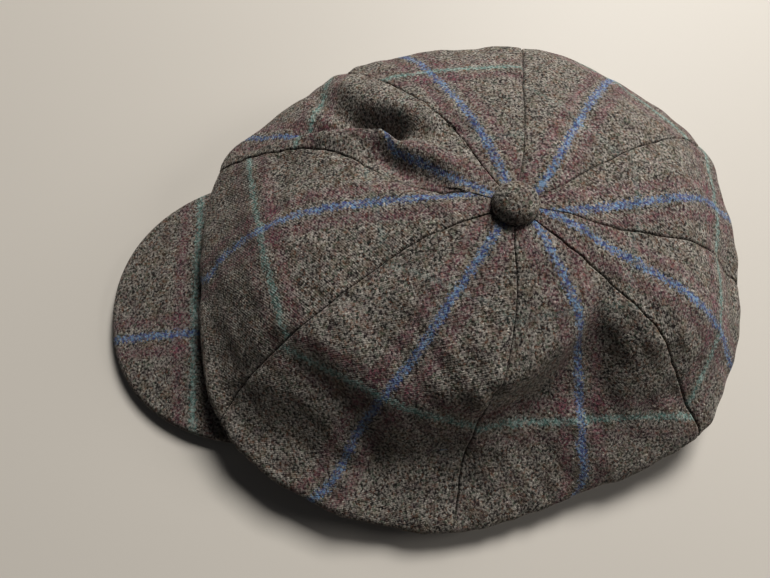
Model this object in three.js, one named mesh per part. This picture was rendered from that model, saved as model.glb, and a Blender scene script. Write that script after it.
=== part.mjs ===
// Newsboy cap: eight-panel tweed crown, headband, peak, covered button, lining and labels.
// Millimetres, +Z up. The cap lies the right way up on a table: the wearer's front (the peak) is
// toward -Y and the wearer's left is +X. Everything is laid out around the middle of the head
// opening, and the last lines move the whole cap so that its origin is the middle of its own
// footprint on the table.
import * as THREE from 'three';

// ---- Driving dimensions -------------------------------------------------------------------

// Head opening: an oval of 58 cm round the inside of the sweatband.
const HEAD_HALF_WIDTH = 83;
const HEAD_HALF_LENGTH = 101;

// Headband, from the inside out. The layers stand on edge, one round the other.
const BAND_HEIGHT = 28;
const SWEATBAND_THICKNESS = 1.2;
const INTERLINING_THICKNESS = 1;
const BAND_THICKNESS = 2;
const LAYER_GAP = 0.4;
const INNER_LAYER_FLOOR = 1;
const INNER_LAYER_DROP = 1.5;

// Crown. The button sits behind and to the right of the middle of the head, because the crown
// slouches back.
const BUTTON_X = -13;
const BUTTON_Y = 36;
const CROWN_TOP = 78;
const CROWN_THICKNESS = 2;
const CROWN_HOLE_RADIUS = 3;
const SEAM_GAP = 1.2;
const PANEL_STEPS_ALONG = 18;
const PANEL_STEPS_ACROSS = 5;

// The eight crown seams, counter-clockwise from the front left one, each through four places: the
// shoulder of the plateau, the slope below it, the flare of the loose cloth and the outermost fold.
// Each place is a distance from the button, a height, and a direction from the button in degrees
// from the wearer's left. "hem" is the height of the underside between the fold and the band.
const CROWN_SEAMS = [
  { shoulder: [119, 57, -66], slope: [144, 39, -65], flare: [159, 31, -65], rim: [169, 23, -66], hem: 18.5 },
  { shoulder: [82, 62, -8], slope: [107, 36, -14], flare: [129, 19, -15], rim: [149, 10, -15], hem: 5 },
  { shoulder: [86, 60, 47], slope: [113, 42, 44], flare: [128, 31, 42], rim: [138, 20, 40], hem: 7 },
  { shoulder: [86, 62, 80], slope: [112, 47, 79], flare: [124, 38, 77], rim: [131, 26, 76], hem: 10 },
  { shoulder: [92, 62, 115], slope: [118, 49, 115], flare: [130, 41, 115], rim: [136, 31, 115], hem: 13 },
  { shoulder: [85, 65, 165], slope: [110, 55, 166], flare: [123, 47, 166], rim: [129, 36, 166], hem: 16 },
  { shoulder: [86, 61, 204], slope: [117, 51, 208], flare: [131, 44, 210], rim: [140, 34, 211], hem: 18 },
  { shoulder: [98, 57, 239], slope: [132, 44, 242], flare: [151, 36, 246], rim: [162, 27, 249], hem: 18.5 },
];

// The panel that follows each seam in the list above.
const PANEL_NAMES = [
  'front_left', 'left', 'back_left', 'back', 'back_right', 'right', 'front_right', 'front',
];

// The seams share the headband out equally, with the front panel in the middle of the front.
const FIRST_SEAM_ON_BAND = -67.5;
const SEAM_SPACING_ON_BAND = 45;
const SEAM_OVER_BAND = 0.5;

// Between the button and the shoulder the plateau swells above a straight line. Past the fold, the
// underside turns in towards the band and then tucks up beside it. Shares are parts of the way.
const PLATEAU_SHARE = 0.45;
const PLATEAU_RISE = 12;
const UNDERSIDE_TURN = 0.35;
const UNDERSIDE_TUCK = 0.8;
const TUCK_RISE = 2;

// Lining: four gores that hang inside the crown from the top of the headband.
const LINING_THICKNESS = 0.6;
const LINING_TOP = 70;
const LINING_PLATEAU_RISE = 2;
const LINING_SHOULDER_SHARE = 0.78;
const LINING_SHOULDER_DROP = 8;
const LINING_WALL_INSET = 9;
const LINING_WALL_HEIGHT = 40;
const LINING_FOOT_OUTSET = 2;
const LINING_STEPS_ALONG = 10;
const LINING_STEPS_ACROSS = 6;
const LINING_NAMES = ['front', 'left', 'back', 'right'];

// Peak. Its inner edge follows the outside of the headband.
const PEAK_REACH = 181;
const PEAK_HALF_WIDTH = 80;
const PEAK_SHOULDER = 85;
const PEAK_ROUNDNESS = 2.15;
const PEAK_ROOT_ANGLE = 32;
const PEAK_GAP = 0.9;
const PEAK_ROOT_HEIGHT = 5;
const PEAK_TIP_HEIGHT = 4.6;
const PEAK_ARCH = 5;
const PEAK_BOARD_THICKNESS = 2;
const PEAK_COVER_THICKNESS = 1.6;
const PEAK_BOARD_TRIM = 0.05;
const PEAK_LAYER_GAP = 0.6;
const PEAK_STEPS_ALONG = 6;
const PEAK_STEPS_ACROSS = 20;

// Covered button, on a short shank through the hole in the middle of the crown.
const BUTTON_RADIUS = 11.5;
const BUTTON_HEIGHT = 7.5;
const BUTTON_COVER_THICKNESS = 1.2;
const BUTTON_SHELL_THICKNESS = 0.5;
const SHANK_RADIUS = 1.5;
const WASHER_RADIUS = 9;
const WASHER_THICKNESS = 1;
const WASHER_DROP = 1.6;
const BUTTON_RISE = 0.8;
const BUTTON_BACK_THICKNESS = 0.8;
const SHANK_END = 0.6;
const DOME_STEPS = 6;
const DOME_FULLNESS = 0.8;
const ROUND_SEGMENTS = 24;
const OVAL_DIVISIONS = 36;

// Labels, all blank.
const LABEL_THICKNESS = 0.4;
const MAKER_LABEL_THICKNESS = 0.5;
const MAKER_LABEL_GAP = 1;
const SIZE_LABEL_GAP = 0.7;
const SIZE_LABEL_ANGLES = [80, 90];
const SIZE_LABEL_HEIGHTS = [9, 21];
const CARE_LABEL_GAP = 2.2;
const CARE_LABEL_WIDTH = 24;
const CARE_LABEL_LENGTH = 17;
const CARE_LABEL_TOP = 25;

// ---- Materials ----------------------------------------------------------------------------

function cloth(colour, roughness = 0.95) {
  return new THREE.MeshStandardMaterial({ color: colour, roughness, metalness: 0 });
}

function metal(colour, roughness) {
  return new THREE.MeshStandardMaterial({ color: colour, roughness, metalness: 1 });
}

const TWEED = 0x5b544b;
const SATIN = 0x3a2f2b;
const SWEATBAND_BROWN = 0x2b2420;
const CANVAS = 0xb9ae98;
const BOARD = 0x9a8f7d;
const LABEL_WHITE = 0xd9d4c8;
const LABEL_DARK = 0x241f1d;
const STEEL = 0x9c9c9a;

// ---- Shaping helpers ----------------------------------------------------------------------

const radians = THREE.MathUtils.degToRad;
const lerp = THREE.MathUtils.lerp;

// A slab with many faces, bent by a function of how far along, across and through it a point is.
function bentSlab(stepsAlong, stepsAcross, place) {
  const geometry = new THREE.BoxGeometry(1, 1, 1, stepsAlong, stepsAcross, 1);
  const corners = geometry.attributes.position;
  for (let i = 0; i < corners.count; i += 1) {
    const point = place(corners.getX(i) + 0.5, corners.getY(i) + 0.5, corners.getZ(i));
    corners.setXYZ(i, point.x, point.y, point.z);
  }
  geometry.computeVertexNormals();
  return geometry;
}

// The direction square to a surface, from two short steps on it.
function surfaceNormal(surface, along, across) {
  const step = 0.002;
  const before = surface(Math.max(along - step, 0), across);
  const after = surface(Math.min(along + step, 1), across);
  const lower = surface(along, across - step);
  const upper = surface(along, across + step);
  return after.sub(before).cross(upper.sub(lower)).normalize();
}

// A sheet of cloth of one thickness, centred on a surface moved out by an offset.
function sheetOn(surface, thickness, offset = 0) {
  return (along, across, side) => {
    const normal = surfaceNormal(surface, along, across);
    return surface(along, across).addScaledVector(normal, side * thickness + offset);
  };
}

// Narrows one panel of a surface so that half a seam gap is left along each of its long edges.
function panelOf(surface, first, last, gap) {
  return (along, across) => {
    const width = surface(along, first).distanceTo(surface(along, last));
    const margin = Math.min(gap / 2 / width, 0.2);
    return surface(along, lerp(first, last, lerp(margin, 1 - margin, across)));
  };
}

function ovalPoint(outset, degrees, height) {
  const x = (HEAD_HALF_WIDTH + outset) * Math.cos(radians(degrees));
  const y = (HEAD_HALF_LENGTH + outset) * Math.sin(radians(degrees));
  return new THREE.Vector3(x, y, height);
}

function fromButton(distance, height, degrees) {
  const x = BUTTON_X + distance * Math.cos(radians(degrees));
  const y = BUTTON_Y + distance * Math.sin(radians(degrees));
  return new THREE.Vector3(x, y, height);
}

// A closed ring through one point for each crown seam, as a function of the turn round it.
function ringThrough(points) {
  const curve = new THREE.CatmullRomCurve3(points, true, 'catmullrom', 0.5);
  return (turn) => curve.getPoint(turn);
}

// A ring at one distance from the oval head opening.
function ovalRing(outset, height) {
  return (turn) => ovalPoint(outset, FIRST_SEAM_ON_BAND + 360 * turn, height);
}

// A surface through closed rings, one inside the other: "across" counts crown seams round the cap,
// and "along" goes from the first ring to the last.
function surfaceThroughRings(rings) {
  return (along, across) => {
    const turn = (((across / CROWN_SEAMS.length) % 1) + 1) % 1;
    const meridian = rings.map((ring) => ring(turn));
    return new THREE.CatmullRomCurve3(meridian, false, 'centripetal').getPoint(along);
  };
}

// An oval band standing on edge.
function ovalBand(innerOutset, thickness, bottom, top) {
  const oval = (outset) => {
    const shape = new THREE.Path();
    shape.absellipse(0, 0, HEAD_HALF_WIDTH + outset, HEAD_HALF_LENGTH + outset, 0, 2 * Math.PI, false, 0);
    return shape.getPoints(OVAL_DIVISIONS).slice(0, -1);
  };
  const outline = new THREE.Shape(oval(innerOutset + thickness));
  outline.holes.push(new THREE.Path(oval(innerOutset)));
  const geometry = new THREE.ExtrudeGeometry(outline, { depth: top - bottom, bevelEnabled: false });
  geometry.translate(0, 0, bottom);
  return geometry;
}

function turned(profile) {
  const points = profile.map(([radius, height]) => new THREE.Vector2(radius, height));
  const geometry = new THREE.LatheGeometry(points, ROUND_SEGMENTS);
  geometry.rotateX(Math.PI / 2);
  return geometry;
}

// ---- Crown --------------------------------------------------------------------------------

const INTERLINING_OUTSET = SWEATBAND_THICKNESS + LAYER_GAP;
const BAND_OUTSET = INTERLINING_OUTSET + INTERLINING_THICKNESS + LAYER_GAP;
const BAND_OUTER = BAND_OUTSET + BAND_THICKNESS;
const CROWN_ON_BAND = BAND_OUTER + LAYER_GAP + CROWN_THICKNESS / 2;

function seamRing(place) {
  const onBand = (index) => FIRST_SEAM_ON_BAND + SEAM_SPACING_ON_BAND * index;
  return ringThrough(CROWN_SEAMS.map((seam, index) => place(seam, onBand(index))));
}

// A ring part of the way from the button to the shoulder of the plateau, above the shoulder by a rise.
function plateauRing(share, rise) {
  return seamRing(({ shoulder: [reach, height, direction] }) => (
    fromButton(share * reach, height + rise, direction)
  ));
}

// The edge of the button's hole.
function holeRing(height) {
  return seamRing(({ shoulder: [, , direction] }) => fromButton(CROWN_HOLE_RADIUS, height, direction));
}

function crownRings() {
  const ring = (name) => seamRing((seam) => fromButton(...seam[name]));
  const underside = (share, rise) => seamRing(({ rim: [reach, , direction], hem }, onBand) => {
    const outer = fromButton(reach, hem + rise, direction);
    return outer.lerp(ovalPoint(CROWN_ON_BAND, onBand, hem + rise), share);
  });
  return [
    holeRing(CROWN_TOP),
    plateauRing(PLATEAU_SHARE, PLATEAU_RISE),
    ring('shoulder'),
    ring('slope'),
    ring('flare'),
    ring('rim'),
    underside(UNDERSIDE_TURN, 0),
    underside(UNDERSIDE_TUCK, TUCK_RISE),
    ovalRing(CROWN_ON_BAND, BAND_HEIGHT + SEAM_OVER_BAND),
  ];
}

const crownSurface = surfaceThroughRings(crownRings());

function crownPanel(index) {
  const panel = panelOf(crownSurface, index, index + 1, SEAM_GAP);
  return bentSlab(PANEL_STEPS_ALONG, PANEL_STEPS_ACROSS, sheetOn(panel, CROWN_THICKNESS));
}

// ---- Lining -------------------------------------------------------------------------------

// The lining is cut smaller than the crown: it stands up from the band and closes under the button.
function liningRings() {
  return [
    holeRing(LINING_TOP),
    plateauRing(PLATEAU_SHARE, LINING_PLATEAU_RISE),
    plateauRing(LINING_SHOULDER_SHARE, -LINING_SHOULDER_DROP),
    ovalRing(-LINING_WALL_INSET, LINING_WALL_HEIGHT),
    ovalRing(LINING_FOOT_OUTSET, BAND_HEIGHT + 1),
  ];
}

const liningSurface = surfaceThroughRings(liningRings());

function liningPanel(index) {
  const panel = panelOf(liningSurface, 2 * index - 1, 2 * index + 1, SEAM_GAP);
  return bentSlab(LINING_STEPS_ALONG, LINING_STEPS_ACROSS, sheetOn(panel, LINING_THICKNESS));
}

// ---- Peak ---------------------------------------------------------------------------------

function signedPower(value, power) {
  return Math.sign(value) * Math.abs(value) ** power;
}

// The rounded outer edge, from the right side to the left.
function peakOutline(across) {
  const angle = Math.PI * (1 - across);
  const x = PEAK_HALF_WIDTH * signedPower(Math.cos(angle), 2 / PEAK_ROUNDNESS);
  const y = -PEAK_SHOULDER - (PEAK_REACH - PEAK_SHOULDER) * signedPower(Math.sin(angle), 2 / PEAK_ROUNDNESS);
  return new THREE.Vector3(x, y, PEAK_TIP_HEIGHT);
}

// The middle of the peak's thickness, from its sewn edge out, and from the right side to the left.
function peakSurface(along, across) {
  const angle = lerp(-180 + PEAK_ROOT_ANGLE, -PEAK_ROOT_ANGLE, across);
  const root = ovalPoint(BAND_OUTER + PEAK_GAP, angle, PEAK_ROOT_HEIGHT);
  const point = root.lerp(peakOutline(across), along);
  point.z += PEAK_ARCH * Math.sin(Math.PI * across) ** 2 * Math.sin(Math.PI * (0.25 + 0.75 * along));
  return point;
}

const COVER_OFFSET = (PEAK_BOARD_THICKNESS + PEAK_COVER_THICKNESS) / 2 + PEAK_LAYER_GAP;

// One layer of the peak. A trimmed layer stops short of the peak's edges all round.
function peakLayer(thickness, offset, trim = 0) {
  const layer = (along, across) => (
    peakSurface(lerp(trim, 1 - trim, along), lerp(trim / 2, 1 - trim / 2, across))
  );
  return bentSlab(PEAK_STEPS_ALONG, PEAK_STEPS_ACROSS, sheetOn(layer, thickness, offset));
}

// ---- Button -------------------------------------------------------------------------------

const BUTTON_BASE = CROWN_TOP + CROWN_THICKNESS / 2 + BUTTON_RISE;
const WASHER_TOP = CROWN_TOP - CROWN_THICKNESS / 2 - WASHER_DROP;

// The outside of a shallow dome, from the axis to its lower edge.
function domeProfile(radius, height, base) {
  const profile = [];
  for (let i = 0; i <= DOME_STEPS; i += 1) {
    const angle = (Math.PI / 2) * (i / DOME_STEPS);
    profile.push([radius * Math.sin(angle) ** DOME_FULLNESS, base + height * Math.cos(angle)]);
  }
  return profile;
}

// A hollow dome: the outside down to its edge, then the inside back up to the axis.
function hollowDome(radius, height, base, thickness) {
  const outside = domeProfile(radius, height, base);
  const inside = domeProfile(radius - thickness, height - thickness, base).reverse();
  return turned([...outside, ...inside].reverse());
}

function buttonCover() {
  return hollowDome(BUTTON_RADIUS, BUTTON_HEIGHT, BUTTON_BASE, BUTTON_COVER_THICKNESS);
}

function buttonShell() {
  const inset = BUTTON_COVER_THICKNESS + LAYER_GAP;
  return hollowDome(BUTTON_RADIUS - inset, BUTTON_HEIGHT - inset, BUTTON_BASE, BUTTON_SHELL_THICKNESS);
}

// The back plate closes the shell and carries the shank down through the crown.
function buttonBack() {
  const plate = BUTTON_RADIUS - BUTTON_COVER_THICKNESS - BUTTON_SHELL_THICKNESS - 2 * LAYER_GAP;
  const shankEnd = WASHER_TOP - WASHER_THICKNESS - SHANK_END;
  return turned([
    [0, shankEnd],
    [SHANK_RADIUS, shankEnd],
    [SHANK_RADIUS, BUTTON_BASE],
    [plate, BUTTON_BASE],
    [plate, BUTTON_BASE + BUTTON_BACK_THICKNESS],
    [0, BUTTON_BASE + BUTTON_BACK_THICKNESS],
  ]);
}

// A stiff disc under the crown that the shank is sewn to.
function buttonWasher() {
  const hole = SHANK_RADIUS + LAYER_GAP;
  const bottom = WASHER_TOP - WASHER_THICKNESS;
  return turned([
    [hole, bottom],
    [WASHER_RADIUS, bottom],
    [WASHER_RADIUS, WASHER_TOP],
    [hole, WASHER_TOP],
    [hole, bottom],
  ]);
}

// ---- Labels -------------------------------------------------------------------------------

// A woven label on the lining, behind the button.
function makerLabel() {
  const patch = (along, across) => liningSurface(lerp(0.26, 0.42, along), lerp(3.1, 3.9, across));
  return bentSlab(4, 6, sheetOn(patch, MAKER_LABEL_THICKNESS, -LINING_THICKNESS / 2 - MAKER_LABEL_GAP));
}

// A small label sewn flat to the inside of the sweatband at the back.
function sizeLabel() {
  const [bottom, top] = SIZE_LABEL_HEIGHTS;
  const [from, to] = SIZE_LABEL_ANGLES;
  const patch = (along, across) => (
    ovalPoint(-SIZE_LABEL_GAP, lerp(from, to, across), lerp(top, bottom, along))
  );
  return bentSlab(1, 4, sheetOn(patch, LABEL_THICKNESS));
}

// A care label caught in a seam by its upper edge, hanging down inside the right side.
function careLabel() {
  const geometry = new THREE.BoxGeometry(LABEL_THICKNESS, CARE_LABEL_WIDTH, CARE_LABEL_LENGTH);
  geometry.translate(CARE_LABEL_GAP - HEAD_HALF_WIDTH, 0, CARE_LABEL_TOP - CARE_LABEL_LENGTH / 2);
  return geometry;
}

// ---- Assembly -----------------------------------------------------------------------------

const cap = new THREE.Group();

function add(name, geometry, material) {
  const mesh = new THREE.Mesh(geometry, material);
  mesh.name = name;
  cap.add(mesh);
  return mesh;
}

PANEL_NAMES.forEach((name, index) => add(`crown_panel_${name}`, crownPanel(index), cloth(TWEED)));
LINING_NAMES.forEach((name, index) => add(`lining_gore_${name}`, liningPanel(index), cloth(SATIN, 0.45)));

add('headband', ovalBand(BAND_OUTSET, BAND_THICKNESS, 0, BAND_HEIGHT), cloth(TWEED));
const innerTop = BAND_HEIGHT - INNER_LAYER_DROP;
const interlining = ovalBand(INTERLINING_OUTSET, INTERLINING_THICKNESS, INNER_LAYER_FLOOR, innerTop);
const sweatband = ovalBand(0, SWEATBAND_THICKNESS, INNER_LAYER_FLOOR, innerTop);
add('headband_interlining', interlining, cloth(CANVAS));
add('sweatband', sweatband, cloth(SWEATBAND_BROWN));

add('peak_board', peakLayer(PEAK_BOARD_THICKNESS, 0, PEAK_BOARD_TRIM), cloth(BOARD, 0.8));
add('peak_upper_cover', peakLayer(PEAK_COVER_THICKNESS, COVER_OFFSET), cloth(TWEED));
add('peak_under_cover', peakLayer(PEAK_COVER_THICKNESS, -COVER_OFFSET), cloth(TWEED));

const button = new THREE.Group();
button.position.set(BUTTON_X, BUTTON_Y, 0);
cap.add(button);
const buttonPieces = [
  ['button_cover', buttonCover(), cloth(TWEED)],
  ['button_shell', buttonShell(), metal(STEEL, 0.4)],
  ['button_back', buttonBack(), metal(STEEL, 0.45)],
  ['button_washer', buttonWasher(), cloth(BOARD, 0.8)],
];
for (const [name, geometry, material] of buttonPieces) {
  button.add(add(name, geometry, material));
}

add('maker_label', makerLabel(), cloth(LABEL_DARK, 0.6));
add('size_label', sizeLabel(), cloth(LABEL_WHITE, 0.7));
add('care_label', careLabel(), cloth(LABEL_WHITE, 0.7));

// The origin is the middle of the cap's footprint, on the table.
const extent = new THREE.Box3().setFromObject(cap);
const middle = extent.getCenter(new THREE.Vector3());
cap.position.set(-middle.x, -middle.y, -extent.min.z);

export default cap;
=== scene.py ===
"""Newsboy cap: eight-panel tweed crown, headband, peak, covered button, lining and labels.

The crown follows the CAD model's seams and also the middle of each panel, at a finer step, with
the folds that the cloth falls into. Lengths are millimetres from the middle of the head opening
unless a name says otherwise, and become metres in the frame's own axes when a mesh is made.
"""
import math

import bpy
import numpy as np
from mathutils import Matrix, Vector


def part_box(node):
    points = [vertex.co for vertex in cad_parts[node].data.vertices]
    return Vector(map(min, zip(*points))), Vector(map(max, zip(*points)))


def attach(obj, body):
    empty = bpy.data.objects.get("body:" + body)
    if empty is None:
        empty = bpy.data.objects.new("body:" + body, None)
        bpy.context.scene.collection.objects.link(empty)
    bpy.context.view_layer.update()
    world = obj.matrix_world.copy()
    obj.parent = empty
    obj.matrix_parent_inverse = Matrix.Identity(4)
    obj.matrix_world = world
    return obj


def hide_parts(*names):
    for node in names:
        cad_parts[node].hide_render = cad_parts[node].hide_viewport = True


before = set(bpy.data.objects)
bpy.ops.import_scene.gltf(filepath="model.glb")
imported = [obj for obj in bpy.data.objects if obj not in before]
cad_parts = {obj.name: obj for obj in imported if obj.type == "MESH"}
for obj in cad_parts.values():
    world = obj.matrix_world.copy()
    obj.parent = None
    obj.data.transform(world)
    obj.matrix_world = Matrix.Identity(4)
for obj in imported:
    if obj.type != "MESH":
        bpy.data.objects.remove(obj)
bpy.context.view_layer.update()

# ---- Driving dimensions ----------------------------------------------------------------------

MM = 0.001


def middle_of(node):
    low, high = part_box(node)
    return (low + high) / 2


ORIGIN = np.array([*middle_of("headband").xy, 0.0]) / MM
BUTTON_X, BUTTON_Y = np.array(middle_of("button_cover").xy) / MM - ORIGIN[:2]

HEAD_HALF_WIDTH = 83.0
HEAD_HALF_LENGTH = 101.0
BAND_HEIGHT = 28.0
SWEATBAND_THICKNESS = 1.2
INTERLINING_THICKNESS = 1.0
BAND_THICKNESS = 2.0
LAYER_GAP = 0.4
INNER_LAYER_FLOOR = 1.0
INNER_LAYER_TOP = BAND_HEIGHT - 1.5
INTERLINING_OUTSET = SWEATBAND_THICKNESS + LAYER_GAP
BAND_OUTSET = INTERLINING_OUTSET + INTERLINING_THICKNESS + LAYER_GAP
BAND_OUTER = BAND_OUTSET + BAND_THICKNESS

CROWN_TOP = 78.0
CROWN_THICKNESS = 2.0
CROWN_ON_BAND = BAND_OUTER + LAYER_GAP + CROWN_THICKNESS / 2
HOLE_RADIUS = 3.0
PLATEAU_SHARE = 0.45
UNDERSIDE_TURN = 0.35
UNDERSIDE_TUCK = 0.8
TUCK_RISE = 2.0
SEAM_OVER_BAND = 0.5
FIRST_SEAM_ON_BAND = -67.5
SEAM_SPACING_ON_BAND = 45.0

# The crown as it lies empty, at its eight seams and, between them, down the middle of each panel,
# counter-clockwise from the front left seam. Each place is a distance from the button, a height,
# and a direction from the button in degrees from the wearer's left. The hem, last in each row, is
# the height of the underside between the outermost fold and the band.
STATION_PLACES = ("top", "plateau", "shoulder", "wall", "foot", "rim")
STATION_ROWS = [
    ((30, 76, -77), (54, 72, -74), (117, 59, -66), (140, 43, -65), (157, 28, -64), (171, 20, -62), 16),
    ((19, 77, -38), (53, 71, -40), (93, 59, -40), (114, 44, -40), (137, 24, -41), (161, 16, -40), 11),
    ((20, 78, -9), (44, 73, -6), (81, 61, -10), (94, 43, -14), (113, 24, -16), (147, 10, -16), 5),
    ((21, 78, 28), (38, 74, 29), (62, 67, 27), (81, 49, 21), (106, 29, 15), (131, 11, 12), 5),
    ((26, 77, 45), (50, 72, 46), (85, 61, 46), (102, 48, 44), (120, 32, 42), (138, 18, 40), 7),
    ((24, 78, 61), (48, 73, 61), (90, 61, 62), (111, 47, 61), (126, 33, 60), (135, 22, 60), 8),
    ((23, 78, 76), (45, 73, 75), (86, 61, 79), (105, 50, 80), (120, 37, 78), (131, 26, 76), 10),
    ((22, 78, 92), (46, 73, 94), (89, 62, 96), (108, 51, 96), (121, 41, 95), (130, 30, 94), 12),
    ((24, 78, 110), (52, 72, 116), (90, 62, 116), (115, 50, 115), (128, 41, 113), (135, 31, 112), 13),
    ((23, 78, 134), (45, 74, 138), (80, 66, 140), (104, 55, 141), (119, 46, 141), (129, 35, 141), 15),
    ((26, 77, 163), (47, 73, 164), (79, 65, 166), (102, 56, 166), (119, 47, 166), (129, 37, 166), 16),
    ((24, 77, 186), (48, 72, 186), (80, 64, 192), (104, 55, 194), (120, 47, 195), (129, 37, 195), 17),
    ((25, 76, 206), (50, 71, 203), (88, 61, 207), (114, 52, 210), (128, 45, 212), (140, 35, 213), 18),
    ((24, 75, 229), (50, 70, 229), (92, 59, 227), (120, 49, 231), (138, 40, 234), (153, 30, 236), 18),
    ((22, 76, 245), (46, 72, 246), (101, 58, 241), (131, 46, 244), (149, 36, 246), (165, 27, 249), 18.5),
    ((24, 76, 262), (52, 71, 265), (114, 60, 268), (136, 46, 269), (151, 34, 270), (162, 24, 272), 18.5),
]
STATIONS = [dict(zip((*STATION_PLACES, "hem"), row)) for row in STATION_ROWS]
STATIONS_TO_A_SEAM = 2
RIM_RING = 1 + STATION_PLACES.index("rim")

# Where the check falls on each panel: how far the blue line is from the middle, how much it leans,
# how far the teal line is from the button, and how much that leans.
PANEL_CHECK = {
    "front_left": (1.0, 0.0, 106.5, -0.17),
    "left": (5.5, -0.04, 112.5, 0.25),
    "back_left": (4.0, -0.06, 118.0, -0.25),
    "back": (-6.3, 0.0, 121.0, 0.3),
    "back_right": (-4.0, 0.045, 124.0, 0.2),
    "right": (-1.0, 0.17, 98.0, 0.15),
    "front_right": (0.0, 0.14, 128.0, -0.4),
    "front": (-7.5, 0.0, 122.0, -0.22),
}

# Folds that the cloth has fallen into. Each follows a line of directions and distances from the
# button. It is highest on the line (a valley is negative) and spreads out to its left and right.
# A crest instead drops sharply on its left, to a valley that spreads out beyond it.
FOLDS = [
    dict(line=[(-141, 134), (-142, 102), (-144, 82), (-151, 64)], height=4.5, left=13, right=8),
    dict(line=[(-135, 127), (-134, 106), (-135, 91), (-137, 78), (-139, 64)], height=-5, left=8, right=4),
    dict(line=[(-125, 78), (-123, 66), (-121, 54), (-119, 38)], height=-7, left=7, right=9),
    dict(line=[(-131, 76), (-132, 64), (-134, 50), (-137, 34)], height=2.5, left=6, right=6),
    dict(line=[(-113, 120), (-106, 117), (-100, 117), (-95, 121)], height=-2.5, left=5, right=6),
    dict(line=[(38, 60), (30, 67), (22, 73), (13, 80), (4, 86), (-8, 90)], height=-6.5, left=11, right=7),
    dict(line=[(28, 76), (25, 86), (20, 96)], height=-2.5, left=8, right=9),
    dict(line=[(-66, 130), (-54, 120), (-43, 120), (-36, 128), (-38, 138)], height=-3.5, left=8, right=8),
]
CREST = dict(
    line=[(-116, 147), (-120, 124), (-124, 106), (-129, 90), (-132, 80), (-132, 73), (-130, 66)],
    height=4.5, spread=14, drop=13, steep=4.5, beyond=9,
)
# How full the crest is where it starts, and the shares of its line at which it is full and fades.
CREST_START = 0.3
CREST_FULL = 0.35
CREST_FADE = 0.7
# The share of a fold's sine wave left out at each end, and how squarely the wave rises.
FOLD_END = 0.12
FOLD_FULLNESS = 0.7
STEPS_A_FOLD_KNOT = 6


# ---- Curves ----------------------------------------------------------------------------------


def from_button(reach, height, degrees):
    angle = math.radians(degrees)
    return np.array([BUTTON_X + reach * math.cos(angle), BUTTON_Y + reach * math.sin(angle), height])


def oval(outset, degrees, height):
    """Points on the oval that runs at one distance outside the head opening."""
    angle = np.radians(degrees)
    x = (HEAD_HALF_WIDTH + outset) * np.cos(angle)
    y = (HEAD_HALF_LENGTH + outset) * np.sin(angle)
    return np.stack(np.broadcast_arrays(x, y, height), -1)


def closed_curve(points, place):
    """A smooth closed curve through the points. place counts the points round it."""
    points = np.asarray(points, float)
    first = np.floor(place).astype(int)
    t = (place - first)[:, None]
    a, b, c, d = (points[(first + k) % len(points)] for k in (-1, 0, 1, 2))
    return b + 0.5 * t * (c - a + t * (2 * a - 5 * b + 4 * c - d + t * (3 * (b - c) + d - a)))


def open_curves(knots, steps):
    """Smooth curves side by side through knots, an array of (knot, curve, xyz)."""
    ends = (2 * knots[:1] - knots[1:2], 2 * knots[-1:] - knots[-2:-1])
    points = np.concatenate([ends[0], knots, ends[1]])
    span = np.sqrt(np.maximum(np.linalg.norm(np.diff(points, axis=0), axis=-1, keepdims=True), 1e-6))
    rows = []
    for k in range(1, len(points) - 2):
        p0, p1, p2, p3 = points[k - 1 : k + 3]
        s0, s1, s2 = span[k - 1 : k + 2]
        leaving = ((p1 - p0) / s0 - (p2 - p0) / (s0 + s1) + (p2 - p1) / s1) * s1
        arriving = ((p2 - p1) / s1 - (p3 - p1) / (s1 + s2) + (p3 - p2) / s2) * s1
        for t in np.arange(steps) / steps:
            rows.append(
                (2 * t**3 - 3 * t**2 + 1) * p1
                + (t**3 - 2 * t**2 + t) * leaving
                + (3 * t**2 - 2 * t**3) * p2
                + (t**3 - t**2) * arriving
            )
    rows.append(knots[-1])
    return np.array(rows)


def run_along(rows):
    """How far along its column each point is."""
    step = np.linalg.norm(np.diff(rows, axis=0), axis=-1)
    return np.concatenate([np.zeros((1, rows.shape[1])), np.cumsum(step, axis=0)])


def evenly(rows, count):
    """The same columns, each with its points spread evenly along it."""
    along = run_along(rows)
    out = np.empty((count, rows.shape[1], 3))
    for column in range(rows.shape[1]):
        wanted = np.linspace(0, along[-1, column], count)
        for axis in range(3):
            out[:, column, axis] = np.interp(wanted, along[:, column], rows[:, column, axis])
    return out


def between(ends, share):
    """The value a share of the way from one end to the other."""
    return ends[0] + (ends[1] - ends[0]) * share


def smoothstep(low, high, value):
    t = np.clip((value - low) / (high - low), 0, 1)
    return t * t * (3 - 2 * t)


def surface_normals(grid):
    along = np.gradient(grid, axis=0)
    across = np.gradient(grid, axis=1)
    normal = np.cross(along, across)
    return normal / np.maximum(np.linalg.norm(normal, axis=-1, keepdims=True), 1e-9)


def ripples(points, wavelength, seed, waves=14):
    """A smooth uneven value, about -1 to 1, that varies over one wavelength."""
    rng = np.random.default_rng(seed)
    total = np.zeros(points.shape[:-1])
    for _ in range(waves):
        heading = rng.normal(size=3)
        heading *= rng.uniform(0.6, 1.5) * 2 * math.pi / wavelength / np.linalg.norm(heading)
        total += np.sin(points @ heading + rng.uniform(0, 2 * math.pi))
    return total / math.sqrt(waves)


# ---- Meshes ----------------------------------------------------------------------------------


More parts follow.
